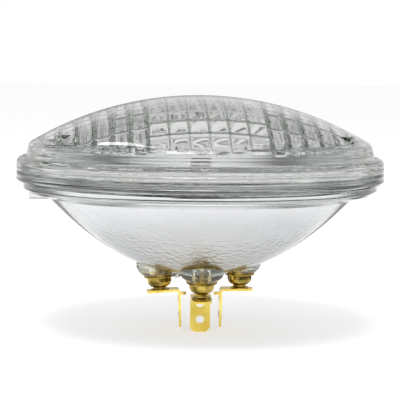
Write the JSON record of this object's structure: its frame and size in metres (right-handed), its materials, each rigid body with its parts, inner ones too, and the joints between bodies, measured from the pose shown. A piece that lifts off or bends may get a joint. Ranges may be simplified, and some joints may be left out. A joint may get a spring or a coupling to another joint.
{
  "type": "sealed beam headlamp",
  "caption": "Round sealed beam headlamp: a fluted glass lens fused to a silvered glass reflector, with filaments inside and brass blade terminals on the back.",
  "frame": {"origin": "on the optical axis, at the back of the rim, where the lamp seats in its mounting ring", "axes": "+Z along the optical axis, out of the lens; -Y towards the top of the lamp as it sits in a car, where the centre terminal is; +X to the right in the picture"},
  "size_m": [0.146, 0.146, 0.0942],
  "materials": {
    "lens_glass": "clear pressed glass",
    "silvered_glass": "glass silvered on its inner face",
    "tube_glass": "clear fused glass",
    "ferrule_brass": "polished",
    "eyelet_brass": "polished",
    "terminal_brass": "bright stamped strip",
    "wire_metal": "nickel-plated wire",
    "shield_metal": "drawn steel",
    "tungsten": "tungsten wire",
    "ceramic": "unglazed"
  },
  "bodies": {
    "root": {"lens": "lens_glass", "reflector": "silvered_glass", "exhaust_tip": "tube_glass", "insulator_bridge": "ceramic", "high_beam_filament": "tungsten", "low_beam_filament": "tungsten", "filament_shield": "shield_metal", "shield_support": "wire_metal", "left_ferrule": "ferrule_brass", "left_eyelet": "eyelet_brass", "left_terminal": "terminal_brass", "left_post": "wire_metal", "right_ferrule": "ferrule_brass", "right_eyelet": "eyelet_brass", "right_terminal": "terminal_brass", "right_post": "wire_metal", "centre_ferrule": "ferrule_brass", "centre_eyelet": "eyelet_brass", "centre_terminal": "terminal_brass", "centre_post": "wire_metal"}
  },
  "joints": []
}
